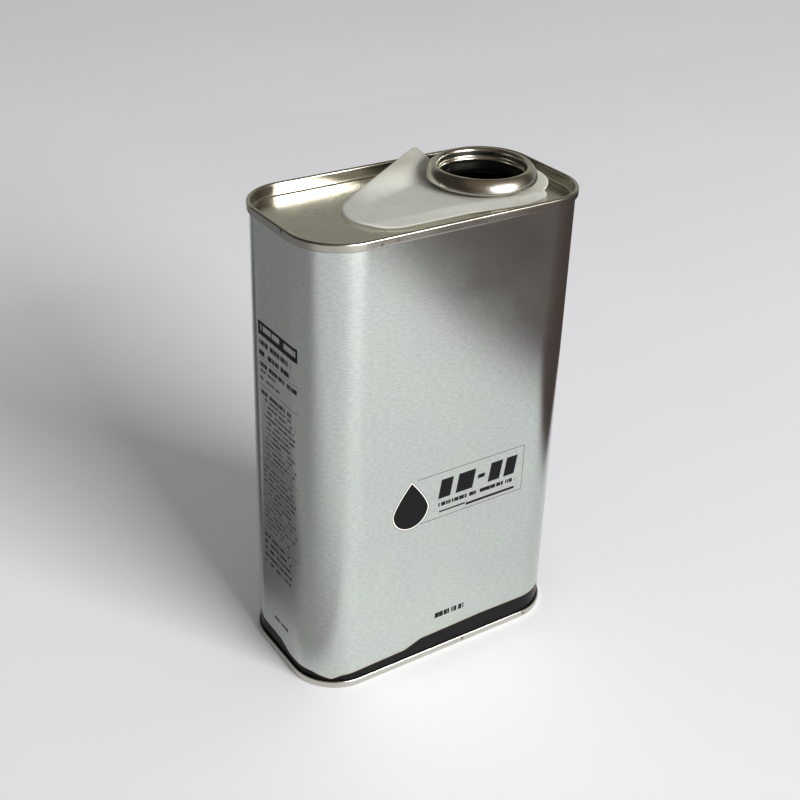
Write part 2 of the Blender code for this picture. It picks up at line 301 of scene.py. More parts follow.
def scattered_specks():
    """Small dark specks: 1 within a given size of the middle of some cells of a Voronoi pattern,
    where a noise chooses which cells have one."""
    nodes, given, made = new_group(
        "scattered_specks",
        {"Vector": "Vector", "Spacing": "Float", "Size": "Float", "Share": "Float"},
        {"Mask": "Float"},
    )
    scale = nodes.calc("DIVIDE", 1.0, given["Spacing"])
    cells = nodes.add("ShaderNodeTexVoronoi", {"Vector": given["Vector"], "Scale": scale})
    ragged = nodes.noise(given["Vector"], nodes.calc("MULTIPLY", scale, 9.0), 2.0)
    reach = nodes.calc("MULTIPLY", given["Size"], nodes.calc("MULTIPLY", ragged, 2.0))
    near = nodes.calc("LESS_THAN", cells.outputs["Distance"], reach)
    chosen = nodes.add("ShaderNodeSeparateColor", {"Color": cells.outputs["Color"]})
    kept = nodes.calc("LESS_THAN", chosen.outputs["Red"], given["Share"])
    nodes.tree.links.new(nodes.calc("MULTIPLY", near, kept), made["Mask"])
    return nodes.tree


def slanted_block():
    """A printed block: 1 where the distance past its nearest edge, max(|u - middle| - half width,
    |v - middle| - half height), is under 0, with u first moved back by slant * (v - low)."""
    nodes, given, made = new_group(
        "slanted_block",
        {n: "Float" for n in ("U", "V", "Left", "Right", "Low", "High", "Slant")},
        {"Mask": "Float"},
    )
    lean = nodes.calc("MULTIPLY", nodes.calc("SUBTRACT", given["V"], given["Low"]), given["Slant"])
    u = nodes.calc("SUBTRACT", given["U"], lean)
    past = []
    for place, low, high in ((u, "Left", "Right"), (given["V"], "Low", "High")):
        middle = nodes.calc("MULTIPLY", nodes.calc("ADD", given[low], given[high]), 0.5)
        half = nodes.calc("MULTIPLY", nodes.calc("SUBTRACT", given[high], given[low]), 0.5)
        off = nodes.calc("ABSOLUTE", nodes.calc("SUBTRACT", place, middle))
        past.append(nodes.calc("SUBTRACT", off, half))
    edge = nodes.calc("MAXIMUM", *past)
    nodes.tree.links.new(nodes.step(edge, 0.00004, -0.00004), made["Mask"])
    return nodes.tree


def lines_of_dashes():
    """Rows of dashes that stand in for fine print: v is cut into rows of one pitch, and in each the
    ink is on where a noise along u, different in each row, is over a level. The rows end raggedly."""
    names = ("U", "V", "Left", "Right", "Low", "High", "Pitch", "Tall", "Word", "Ragged")
    nodes, given, made = new_group("lines_of_dashes", {n: "Float" for n in names}, {"Mask": "Float"})
    down = nodes.calc("DIVIDE", nodes.calc("SUBTRACT", given["High"], given["V"]), given["Pitch"])
    row = nodes.calc("FLOOR", down)
    across_row = nodes.calc("FRACT", down)
    tall = nodes.step(across_row, given["Tall"], nodes.calc("SUBTRACT", given["Tall"], 0.12))
    along = nodes.calc("DIVIDE", given["U"], given["Word"])
    seed = nodes.calc("MULTIPLY", row, 7.31)
    place = nodes.add("ShaderNodeCombineXYZ", {0: along, 1: seed}).outputs[0]
    words = nodes.step(nodes.noise(place, 1.0, 1.0), 0.40, 0.43)
    letters = nodes.step(nodes.noise(nodes.stretched(place, (5.0, 3.0, 1.0)), 1.0, 1.0), 0.37, 0.45)
    end_noise = nodes.add("ShaderNodeTexWhiteNoise", {"W": seed}, noise_dimensions="1D")
    shorter = nodes.calc("MULTIPLY", end_noise.outputs["Value"], given["Ragged"])
    right = nodes.calc("SUBTRACT", given["Right"], shorter)
    mask = nodes.calc("MULTIPLY", nodes.calc("MULTIPLY", tall, words), letters)
    for edge, beyond in ((given["Left"], given["U"]), (given["Low"], given["V"])):
        mask = nodes.calc("MULTIPLY", mask, nodes.calc("GREATER_THAN", beyond, edge))
    for edge, beyond in ((right, given["U"]), (given["High"], given["V"])):
        mask = nodes.calc("MULTIPLY", mask, nodes.calc("LESS_THAN", beyond, edge))
    nodes.tree.links.new(mask, made["Mask"])
    return nodes.tree


grain_group = brushed_grain()
specks_group = scattered_specks()
block_group = slanted_block()
dashes_group = lines_of_dashes()

HALF_WRAP = WRAP_LENGTH / 2  # the print is the same on each half of the wrap
FRONT_MIDDLE = SHORT_RUN + CORNER_RUN + LONG_RUN / 2


def foot_band(nodes, u, v):
    """The black band round the foot, and its thin pale edge. Its top is a line of straight slopes
    along the wrap, which dips to a notch at the corner."""
    corner = SHORT_RUN
    front = SHORT_RUN + CORNER_RUN
    tops = (
        (0.0, 0.0088),
        (0.0125, 0.0084),
        (0.0195, 0.0058),
        (corner + 0.0090, 0.0058),
        (corner + 0.0165, 0.0038),
        (corner + 0.0205, 0.0055),
        (front, 0.0062),
        (front + 0.0203, 0.0068),
        (front + 0.0275, 0.0094),
        (front + 0.0560, 0.0103),
        (front + LONG_RUN, 0.0101),
        (front + LONG_RUN + 0.0150, 0.0104),
        (HALF_WRAP - 0.0050, 0.0104),
        (HALF_WRAP, 0.0088),
    )
    scale = 0.012
    share = nodes.calc("DIVIDE", u, HALF_WRAP)
    curve = nodes.add("ShaderNodeFloatCurve", {"Value": share})
    points = curve.mapping.curves[0].points
    points[0].location = (0.0, tops[0][1] / scale)
    points[1].location = (1.0, tops[-1][1] / scale)
    for place, height in tops[1:-1]:
        points.new(place / HALF_WRAP, height / scale)
    for point in points:
        point.handle_type = "VECTOR"
    curve.mapping.update()
    top = nodes.calc("MULTIPLY", curve.outputs["Value"], scale)
    below = nodes.calc("SUBTRACT", top, v)
    band = nodes.step(below, -0.00004, 0.00004)
    edge = nodes.calc("SUBTRACT", nodes.step(below, -0.00028, -0.00022), band)
    return band, edge


def drop_badge(nodes, u, v):
    """A black oil drop with a thin light gap and a rim, as three masks. Half the drop's width is
    radius * (1 - t^1.35) above its middle, with t the height over it / reach, and radius *
    sqrt(1 - t^2) below, with t the depth under it / radius."""
    middle_u, middle_v = FRONT_MIDDLE - 0.0174, 0.0710
    sideways = nodes.calc("ABSOLUTE", nodes.calc("SUBTRACT", u, middle_u))
    over = nodes.calc("SUBTRACT", v, middle_v)
    masks = []
    for grown in (0.0, 0.0004, 0.0007):
        radius = 0.0074 + grown
        reach = 0.0118 + 1.6 * grown
        upper = nodes.calc("DIVIDE", nodes.calc("MAXIMUM", over, 0.0), reach)
        lower = nodes.calc("DIVIDE", nodes.calc("MINIMUM", over, 0.0), radius)
        taper = nodes.calc("SUBTRACT", 1.0, nodes.calc("POWER", upper, 1.35))
        squared = nodes.calc("POWER", nodes.calc("ABSOLUTE", lower), 2.0)
        bowl = nodes.calc("SQRT", nodes.calc("SUBTRACT", 1.0, squared))
        width = nodes.calc("MULTIPLY", nodes.calc("MULTIPLY", taper, bowl), radius)
        masks.append(nodes.step(nodes.calc("SUBTRACT", width, sideways), -0.00004, 0.00004))
    return masks


def printed_wrap_material():
    """Silver ink with a brushed look over tinplate, black ink, and pale lines, under one varnish."""
    material, nodes, shader = new_material("printed_wrap")
    place = nodes.add("ShaderNodeUVMap", uv_map="wrap").outputs["UV"]
    flat = nodes.add("ShaderNodeSeparateXYZ", {0: place}).outputs
    u = nodes.calc("MODULO", flat["X"], HALF_WRAP)
    v = flat["Y"]

    def block(left, right, low, high, slant=0.0):
        values = {"U": u, "V": v, "Left": left, "Right": right, "Low": low, "High": high, "Slant": slant}
        return nodes.group(block_group, values)["Mask"]

    def dashes(left, right, low, high, pitch, tall, word, ragged):
        values = {"U": u, "V": v, "Left": left, "Right": right, "Low": low, "High": high}
        values.update({"Pitch": pitch, "Tall": tall, "Word": word, "Ragged": ragged})
        return nodes.group(dashes_group, values)["Mask"]

    def joined(masks, operation="MAXIMUM"):
        whole = masks[0]
        for mask in masks[1:]:
            whole = nodes.calc(operation, whole, mask)
        return whole

    mid = FRONT_MIDDLE
    band, band_edge = foot_band(nodes, u, v)
    drop, drop_gap, drop_rim = drop_badge(nodes, u, v)

    # The front label: a thin frame, five slanted blocks, a row of dashes and a stepped underline.
    box_left, box_right, box_low, box_high = mid - 0.0150, mid + 0.0333, 0.0638, 0.0836
    line_width = 0.00034
    outer = block(box_left, box_right, box_low, box_high)
    inner = block(box_left - 1, box_right - line_width, box_low + line_width, box_high - line_width)
    thin_frame = nodes.calc("SUBTRACT", outer, inner, clamp=True)
    thin_frame = nodes.calc("MULTIPLY", thin_frame, nodes.calc("SUBTRACT", 1.0, drop_rim))
    slanted = [
        block(mid + left, mid + right, low, high, 0.16)
        for left, right, low, high in (
            (-0.0056, -0.0002, 0.0722, 0.0802),
            (0.0022, 0.0098, 0.0722, 0.0802),
            (0.0120, 0.0152, 0.0753, 0.0770),
            (0.0168, 0.0222, 0.0722, 0.0802),
            (0.0240, 0.0290, 0.0722, 0.0802),
        )
    ]
    small_row = dashes(mid - 0.0053, mid + 0.0297, 0.0686, 0.0704, 0.0019, 0.95, 0.0042, 0.0)
    underline = [
        block(mid - 0.0049, mid + 0.0068, 0.0661, 0.0668),
        block(mid + 0.0072, mid + 0.0296, 0.0653, 0.0664),
    ]
    capacity = dashes(mid - 0.0042, mid + 0.0112, 0.0164, 0.0190, 0.0027, 0.97, 0.0034, 0.0)
    front_ink = joined([*slanted, small_row, *underline, capacity])

    # The side's print: a bar with light dashes, bold rows, rules, and rows of fine print.
    bar = block(0.0002, 0.0273, 0.1344, 0.1397)
    bar_dashes = dashes(0.0018, 0.0262, 0.1357, 0.1385, 0.0029, 0.80, 0.0075, 0.0)
    rules = [
        block(0.0002, 0.0271, height, height + 0.0002)
        for height in (0.1252, 0.1149, 0.0843, 0.0527)
    ]
    bold_rows = [
        dashes(0.0004, 0.0256, 0.1262, 0.1326, 0.0041, 0.55, 0.0034, 0.004),
        dashes(0.0005, 0.0268, 0.1220, 0.1241, 0.0022, 0.90, 0.0030, 0.0),
        dashes(0.0008, 0.0232, 0.1111, 0.1130, 0.0020, 0.85, 0.0030, 0.0),
        dashes(0.0014, 0.0225, 0.0385, 0.0517, 0.0030, 0.48, 0.0028, 0.004),
        dashes(0.0078, 0.0184, 0.0150, 0.0165, 0.0016, 0.90, 0.0020, 0.0),
    ]
    fine_rows = [
        dashes(0.0006, 0.0160, 0.1163, 0.1212, 0.0030, 0.42, 0.0026, 0.006),
        dashes(0.0037, 0.0268, 0.0855, 0.1105, 0.0022, 0.54, 0.0030, 0.006),
        dashes(0.0022, 0.0266, 0.0540, 0.0826, 0.0022, 0.54, 0.0030, 0.006),
    ]
    faint = nodes.calc("MULTIPLY", joined(fine_rows), 0.9)
    side_ink = joined([nodes.calc("SUBTRACT", bar, bar_dashes, clamp=True), *rules, *bold_rows, faint])

    # The drop stands on a light patch, and everything printed stays on the outside of the sheet.
    ink = joined([front_ink, side_ink, nodes.calc("MULTIPLY", thin_frame, 0.85)])
    ink = nodes.calc("MULTIPLY", ink, nodes.calc("SUBTRACT", 1.0, drop_rim))
    ink = joined([ink, drop, band])
    outside = nodes.calc("GREATER_THAN", v, 0.0)
    ink = nodes.calc("MULTIPLY", ink, outside)
    pale = nodes.calc("SUBTRACT", drop_gap, drop, clamp=True)
    pale = nodes.calc("MULTIPLY", pale, 0.75)
    copper = nodes.calc("MULTIPLY", band_edge, nodes.calc("MULTIPLY", outside, 0.8))
    rim = nodes.calc("MULTIPLY", nodes.calc("SUBTRACT", drop_rim, drop_gap, clamp=True), 0.8)
    ink = nodes.calc("MAXIMUM", ink, rim)

    streaks = {"Vector": place, "Streak": (420.0, 1700.0, 1.0), "Blotch": 38.0}
    grain = nodes.group(grain_group, streaks)
    specks = {"Vector": place, "Spacing": 0.0075, "Size": 0.022, "Share": 0.28}
    speck = nodes.group(specks_group, specks)["Mask"]
    streaked = nodes.step(grain["Grain"], 0.36, 0.64)
    blotched = nodes.step(grain["Blotches"], 0.36, 0.64)
    silver = nodes.mix(streaked, (0.52, 0.545, 0.52, 1), (0.65, 0.68, 0.65, 1))
    tint = nodes.mix(blotched, (0.965, 0.965, 0.975, 1), (0.965, 1.0, 0.955, 1))
    silver = nodes.add(
        "ShaderNodeMix",
        {0: 1.0, 6: silver, 7: tint},
        data_type="RGBA",
        blend_type="MULTIPLY",
    ).outputs[2]
    silver = nodes.mix(nodes.calc("MULTIPLY", speck, 0.55), silver, (0.13, 0.13, 0.12, 1))
    colour = nodes.mix(nodes.calc("MULTIPLY", pale, outside), silver, (0.86, 0.80, 0.70, 1))
    colour = nodes.mix(copper, colour, (0.50, 0.33, 0.22, 1))
    colour = nodes.mix(ink, colour, (0.004, 0.004, 0.0045, 1))
    metal = nodes.calc("SUBTRACT", 1.0, nodes.calc("MAXIMUM", ink, nodes.calc("MULTIPLY", pale, 0.8)))
    uneven = nodes.calc("MULTIPLY", nodes.calc("SUBTRACT", grain["Blotches"], 0.5), 0.10)
    rough = nodes.calc("ADD", nodes.calc("ADD", 0.17, uneven), nodes.calc("MULTIPLY", ink, 0.12))
    bump = nodes.add("ShaderNodeBump", {"Strength": 0.14, "Distance": 0.00003, "Height": grain["Grain"]})
    for name, value in (
        ("Base Color", colour),
        ("Metallic", metal),
        ("Roughness", rough),
        ("Normal", bump.outputs["Normal"]),
    ):
        nodes.tree.links.new(value, shader.inputs[name])
    shader.inputs["Specular IOR Level"].default_value = 0.1
    shader.inputs["Anisotropic"].default_value = 0.35
    shader.inputs["Anisotropic Rotation"].default_value = 0.25
    return material


body_wrap.data.materials.append(printed_wrap_material())
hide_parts("body_shell")
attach(body_wrap, "can")


# ---------------------------------------------------------------- bottom end
# A tinplate pressing with a recessed, stepped floor. Its edge is rolled with the body's hook into
# the bottom double seam, whose lower edge the can stands on.

SEAM_HEIGHT = 0.0031
PANEL_DEPTH = 0.0045
PANEL_BEND = 0.0007
END_HOOK_LENGTH = 0.0012
COUNTERSINK_WALL = -BODY_SHEET - LAP_GAP - END_SHEET / 2
END_HOOK = LAP_GAP + END_SHEET / 2
SEAM_WALL = 3 * LAP_GAP + END_SHEET + BODY_SHEET + END_SHEET / 2
SEAM_TOP_RADIUS = (SEAM_WALL - COUNTERSINK_WALL) / 2
END_HOOK_RADIUS = (SEAM_WALL - END_HOOK) / 2
SEAM_TOP = CAN_HEIGHT - END_SHEET / 2 - SEAM_TOP_RADIUS
PANEL_HEIGHT = CAN_HEIGHT - PANEL_DEPTH - END_SHEET / 2
BASE_STEP_INSET = 0.0085
BASE_STEP_RISE = 0.0008
BASE_STEP_BEND = 0.0009


def end_line(flat):
    """The edge of an end as it is formed, from flat inside the panel's bend: outwards over the
    panel, up the countersink wall, over the seam, down outside it and up behind the body's hook."""
    hook_height = CAN_HEIGHT - SEAM_HEIGHT + END_SHEET / 2 + END_HOOK_RADIUS
    return formed_line(
        (COUNTERSINK_WALL - PANEL_BEND - flat, PANEL_HEIGHT),
        0,
        [
            ("run", flat, 6),
            ("bend", PANEL_BEND, 90, 8),
            ("run", SEAM_TOP - PANEL_HEIGHT - PANEL_BEND, 6),
            ("bend", SEAM_TOP_RADIUS, -180, 20),
            ("run", SEAM_TOP - hook_height, 4),
            ("bend", END_HOOK_RADIUS, -180, 10),
            ("run", END_HOOK_LENGTH, 2),
        ],
    )


def base_line():
    """The bottom end from inside its raised floor outwards, as (outset, height) points: a step
    down made of two bends, and then the turned-over edge of any end."""
    angle = math.degrees(math.acos(1 - BASE_STEP_RISE / 2 / BASE_STEP_BEND))
    edge = end_line(BASE_STEP_INSET) * (1, -1) + (0, CAN_HEIGHT)
    run = 2 * BASE_STEP_BEND * math.sin(math.radians(angle))
    start = edge[0] + (-run, BASE_STEP_RISE)
    step = formed_line(start, 0, [("bend", BASE_STEP_BEND, -angle, 6), ("bend", BASE_STEP_BEND, angle, 6)])
    return np.concatenate([step[:-1], edge])


def floor_rings(inner, count):
    """Rings from the middle of the floor out to its raised step: the middle + (ring - middle) *
    share, so that the first ring is one point."""
    share = np.linspace(0, 1, count, endpoint=False)[:, None, None]
    middle = inner.mean(axis=0) * (0, 0, 1)
    return middle + (inner - middle) * share


line = base_line()
rings = round_the_can(line[:, 0], line[:, 1])
rings = np.concatenate([floor_rings(rings[0], 12), rings])
faces = two_faced(rings[::-1], END_SHEET)
flat_floor = (0, 0, END_SHEET / 2)
faces[len(rings) - 1] = rings[0] - flat_floor
faces[len(rings)] = rings[0] + flat_floor
bottom = surface("bottom_end_pressing", faces)


def closed_pole(made):
    """Merges the points that meet in the middle of a floor, and drops the faces between them."""
    mesh = bmesh.new()
    mesh.from_mesh(made.data)
    bmesh.ops.remove_doubles(mesh, verts=mesh.verts, dist=1e-7)
    mesh.to_mesh(made.data)
    mesh.free()


closed_pole(bottom)


def tinplate_material(name, colour, worn_low, worn_high, band_darkening):
    """Bright tinplate under a thin warm lacquer: fine rolling lines along X, faint smears, a few
    specks, and in a band of heights round the seam, rubbed nicks and a darker colour over the whole band."""
    material, nodes, shader = new_material(name)
    place = nodes.add("ShaderNodeTexCoord").outputs["Object"]
    height = nodes.add("ShaderNodeSeparateXYZ", {0: place}).outputs["Z"]
    grain = nodes.group(grain_group, {"Vector": place, "Streak": (180.0, 2600.0, 2600.0), "Blotch": 55.0})
    specks = nodes.group(specks_group, {"Vector": place, "Spacing": 0.0062, "Size": 0.045, "Share": 0.3})
    nick_size = {"Vector": place, "Spacing": 0.0030, "Size": 0.22, "Share": 0.13}
    nicks = nodes.group(specks_group, nick_size)["Mask"]
    above_low = nodes.step(height, worn_low, worn_low + 0.0002)
    below_high = nodes.step(height, worn_high, worn_high - 0.0002)
    in_band = nodes.calc("MULTIPLY", above_low, below_high)
    nick = nodes.calc("MULTIPLY", nodes.calc("MULTIPLY", nicks, in_band), 0.85)
    warm = nodes.mix(nodes.step(grain["Blotches"], 0.3, 0.7), colour, (*[0.92 * c for c in colour[:3]], 1))
    bright = tuple(min(1.0, 1.12 * c) for c in colour[:3])
    metal = nodes.mix(nodes.step(grain["Grain"], 0.35, 0.7), warm, (*bright, 1))
    dark = nodes.calc("MAXIMUM", nodes.calc("MULTIPLY", specks["Mask"], 0.6), nick)
    # The metal is made darker over the whole band of heights round the seam.
    band_darkened = nodes.calc("MULTIPLY", in_band, band_darkening)
    metal = nodes.mix(band_darkened, metal, (0.16, 0.14, 0.12, 1))
    base = nodes.mix(dark, metal, (0.05, 0.04, 0.03, 1))
    smears = nodes.calc("MULTIPLY", nodes.step(grain["Blotches"], 0.35, 0.75), 0.07)
    rough = nodes.calc("ADD", nodes.calc("ADD", 0.21, smears), nodes.calc("MULTIPLY", dark, 0.3))
    bump = nodes.add("ShaderNodeBump", {"Strength": 0.22, "Distance": 0.00002, "Height": grain["Grain"]})
    for socket, value in (("Base Color", base), ("Roughness", rough), ("Normal", bump.outputs["Normal"])):
        nodes.tree.links.new(value, shader.inputs[socket])
    shader.inputs["Metallic"].default_value = 1.0
    return material


base_tin = tinplate_material("base_tinplate", (0.60, 0.59, 0.54, 1), 0.0002, 0.0032, 0.18)
bottom.data.materials.append(base_tin)
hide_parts("bottom_end")
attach(bottom, "can")


# ---------------------------------------------------------------- top end
# A second tinplate pressing. Its neck is drawn up out of the recessed panel, beaded inside, and
# curled outwards to a sloping collar that a cap or a spout snaps over.

NECK_X = 0.0275
NECK_WALL = 0.0157 + END_SHEET / 2
NECK_RISE = 0.0097
NECK_ROOT = 0.0022
BEAD_DEPTH = 0.0006
BEAD_BEND = 45
BEAD_DROP = 0.0014
LIP_RADIUS = 0.00115
FLANK_RADIUS = 0.0060
CURL_REACH = 0.0198
CURL_DROP = 0.0043
CURL_BEND = 0.0007
CURL_HEM = 0.0013
PANEL_RINGS = 30


def neck_line():
    """The neck's sheet from under its curl, up the rounded outside, over the lip and down inside
    past the bead to the panel, as (radius, height) points. The outside is one large arc that the
    lip's and the curl's arcs touch from inside: its centre is flank radius - lip radius from the
    one and flank radius - curl radius from the other. Each half of the bead is two arcs, one
    turned against the other."""
    lip_top = CAN_HEIGHT - PANEL_DEPTH + NECK_RISE
    bead = BEAD_DEPTH / 2 / (1 - math.cos(math.radians(BEAD_BEND)))
    bead_height = 4 * bead * math.sin(math.radians(BEAD_BEND))
    lip = Vector((NECK_WALL + LIP_RADIUS, lip_top - END_SHEET / 2 - LIP_RADIUS))
    curl = Vector((CURL_REACH - END_SHEET / 2 - CURL_BEND, lip_top - CURL_DROP))
    between = curl - lip
    lip_reach = FLANK_RADIUS - LIP_RADIUS
    curl_reach = FLANK_RADIUS - CURL_BEND
    along = (lip_reach**2 - curl_reach**2 + between.length**2) / 2 / between.length
    inwards = Vector((between.y, -between.x)).normalized() * math.sqrt(lip_reach**2 - along**2)
    centre = lip + between.normalized() * along + inwards
    flank_start = math.degrees(math.atan2(lip.y - centre.y, lip.x - centre.x)) - 90
    flank_end = math.degrees(math.atan2(curl.y - centre.y, curl.x - centre.x)) - 90
    wall_high = lip.y - BEAD_DROP - bead_height
    upwards = formed_line(
        (NECK_WALL + NECK_ROOT, PANEL_HEIGHT),
        180,
        [
            ("bend", NECK_ROOT, -90, 12),
            ("run", wall_high - PANEL_HEIGHT - NECK_ROOT, 4),
            ("bend", bead, BEAD_BEND, 6),
            ("bend", bead, -2 * BEAD_BEND, 12),
            ("bend", bead, BEAD_BEND, 6),
            ("run", BEAD_DROP, 3),
            ("bend", LIP_RADIUS, flank_start - 90, 20),
            ("bend", FLANK_RADIUS, flank_end - flank_start, 12),
            ("bend", CURL_BEND, -190 - flank_end, 14),
            ("run", CURL_HEM, 3),
        ],
    )
    return upwards[::-1]


def round_the_neck(line):
    """Circles round the neck with a point for each of the can's stations: the angle runs evenly
    with the length round the wrap, and the middle of the left side faces the left."""
    angle = np.pi + 2 * np.pi * (stations() - SHORT_RUN / 2) / WRAP_LENGTH
    radius, height = line[:, :1], line[:, 1:]
    flat = [NECK_X + radius * np.cos(angle), radius * np.sin(angle), height + 0 * angle]
    return np.stack(flat, 2)


def dished(x, y):
    """How far the panel lies off level: a slow wave, which fades out near the neck and the edge."""
    off_neck = np.clip((np.hypot(x - NECK_X, y) - 0.019) / 0.010, 0, 1)
    off_edge = np.clip(np.minimum(SIDE_REACH - abs(x), FACE_REACH - abs(y)) / 0.010 - 0.2, 0, 1)
    return 0.00004 * off_neck * off_edge * (np.sin(x / 0.008 + 0.6) + np.cos(y / 0.0065 + x / 0.02))


neck = round_the_neck(neck_line())
edge_line = end_line(0.0008)
edge = round_the_can(edge_line[:, 0], edge_line[:, 1])
share = np.linspace(0, 1, PANEL_RINGS + 2)[1:-1, None, None]
panel = neck[-1] + (edge[0] - neck[-1]) * share
panel[..., 2] += dished(panel[..., 0], panel[..., 1])
top = surface("top_end_pressing", two_faced(np.concatenate([neck, panel, edge]), END_SHEET))
seam_band = (CAN_HEIGHT - 0.0036, CAN_HEIGHT - 0.0004)
top_tin = tinplate_material("lacquered_tinplate", (0.56, 0.54, 0.475, 1), *seam_band, 0.34)
top.data.materials.append(top_tin)
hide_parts("top_end")
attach(top, "can")


# ---------------------------------------------------------------- sealing compound
# A strip of water-based rubber in each double seam, run into the ends before they are closed on.


def compound_material():
    """Matt grey-buff rubber with small lumps."""
    material, nodes, shader = new_material("sealing_compound")
    place = nodes.add("ShaderNodeTexCoord").outputs["Object"]
    lumps = nodes.noise(place, 900.0, 3.0)
    colour = nodes.mix(lumps, (0.40, 0.36, 0.30, 1), (0.52, 0.48, 0.41, 1))
    rough = nodes.calc("ADD", 0.6, nodes.calc("MULTIPLY", lumps, 0.3))
    bump = nodes.add("ShaderNodeBump", {"Strength": 0.5, "Distance": 0.00004, "Height": lumps})
    for socket, value in (("Base Color", colour), ("Roughness", rough), ("Normal", bump.outputs["Normal"])):
        nodes.tree.links.new(value, shader.inputs[socket])
    return material


rubber = compound_material()
for node in ("top_seam_compound", "bottom_seam_compound"):
    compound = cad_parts[node]
    compound.data.materials.clear()
    compound.data.materials.append(rubber)


# ---------------------------------------------------------------- neck tab
# A loose tab cut from one milky plastic sheet, with a hole that slips over the neck. It lies in the
# recess under the curl. Its free end has a fold along the front, and its back edge is pinched up.

TAB_SHEET = 0.00045
TAB_NEAR = 0.0232
TAB_FAR = 0.0152
TAB_REACH = 0.0412
TAB_TURN = math.radians(4.0)
TAB_HOLE = NECK_WALL + END_SHEET / 2 + 0.0007
TAB_LEVEL = CAN_HEIGHT - PANEL_DEPTH + 0.0028
END_DROP = 0.0020
DROOP = 0.0009
CREASE_WIDTH = 0.0055
EAR_RISE = 0.0094
EAR_X = 0.0125
EAR_START = -0.0208
EAR_END = 0.0235
EAR_SHARP = 16
BEND_OFFSET = 0.0065
BEND_SLOPE = 0.27
CURL_CLEAR = CURL_REACH + 0.0005
TAB_LEAN = math.asin((TAB_NEAR - TAB_FAR) / TAB_REACH)


def tab_outline():
    """The tab's flat outline about the neck's centre: a near circle and a far one, joined by the
    tangents that touch both, with the free end at -X."""
    lean = math.pi / 2 + TAB_LEAN

    def arc(centre, radius, first, last, steps):
        angle = np.linspace(first, last, steps, endpoint=False)
        return np.column_stack([centre + radius * np.cos(angle), radius * np.sin(angle)])

    # The near end is a lobe, with a notch where the front crease runs out and a longer strip
    # in front of it.
    degrees = np.linspace(-math.degrees(lean), math.degrees(lean), 120, endpoint=False)
    near_turns = (-98.9, -76, -67, -61, -56, -51, -39, -29, -15, 0, 20, 50, 98.9)
    near_sizes = (23.2, 24.0, 24.9, 24.3, 22.6, 22.8, 23.6, 24.2, 24.6, 24.8, 24.5, 23.7, 23.2)
    size = np.interp(degrees, near_turns, near_sizes) / 1000
    near = size[:, None] * np.column_stack([np.cos(np.radians(degrees)), np.sin(np.radians(degrees))])
    far = arc(-TAB_REACH, TAB_FAR, lean, 2 * math.pi - lean, 90)
    touch_near = TAB_NEAR * np.array([math.cos(lean), math.sin(lean)])
    touch_far = np.array([-TAB_REACH, 0]) + TAB_FAR * np.array([math.cos(lean), math.sin(lean)])
    share = np.linspace(0, 1, 60, endpoint=False)[:, None]
    back = touch_near + (touch_far - touch_near) * share
    front = (touch_far + (touch_near - touch_far) * share) * (1, -1)
    return np.concatenate([near, back, far, front])


def tab_edge(x, side):
    """Where the tab's straight edge lies at x: the tangent line at the back (side 1) or front."""
    slope = math.tan(side * TAB_LEAN + TAB_TURN)
    return side * TAB_NEAR / math.cos(side * TAB_LEAN + TAB_TURN) + (x - NECK_X) * slope


def draped(flat):
    """Heights for flat points of the tab: level - end drop * share towards the free end - droop *
    share past the front crease + ear rise * (share past the bend line)^1.7 * the smooth lesser of
    two slopes, which meet at the pinched corner."""
    x, y = flat[..., 0], flat[..., 1]
    end_x = NECK_X - TAB_REACH - TAB_FAR
    level = np.clip((x - end_x) / (NECK_X - CURL_CLEAR - end_x), 0, 1)
    z = TAB_LEVEL - END_DROP * (1 - level)
    past_crease = np.clip((tab_edge(x, -1) + CREASE_WIDTH - y) / CREASE_WIDTH, 0, 1)
    z = z - DROOP * past_crease
    beside_curl = np.sqrt(np.clip(CURL_CLEAR**2 - (x - NECK_X) ** 2, 0, None))
    bend = np.maximum(BEND_OFFSET + BEND_SLOPE * x, beside_curl)
    up = np.clip((y - bend) / (tab_edge(x, 1) - bend), 0, 1) ** 1.7
    rising = (x - EAR_START) / (EAR_X - EAR_START)
    falling = (EAR_END - x) / (EAR_END - EAR_X)
    lesser = -np.log(np.exp(-EAR_SHARP * rising) + np.exp(-EAR_SHARP * falling)) / EAR_SHARP
    z = z + EAR_RISE * up * np.clip(lesser, 0, 1)
    return np.concatenate([flat, z[..., None]], axis=-1)


outline = tab_outline()
hole = outline * (TAB_HOLE / np.linalg.norm(outline, axis=1, keepdims=True))
share = np.linspace(0, 1, 44)[:, None, None]
turned = np.array([[math.cos(TAB_TURN), math.sin(TAB_TURN)], [-math.sin(TAB_TURN), math.cos(TAB_TURN)]])
tab_flat = (hole + (outline - hole) * share) @ turned + (NECK_X, 0)
tab = surface("neck_tab_sheet", two_faced(draped(tab_flat)[::-1], TAB_SHEET))


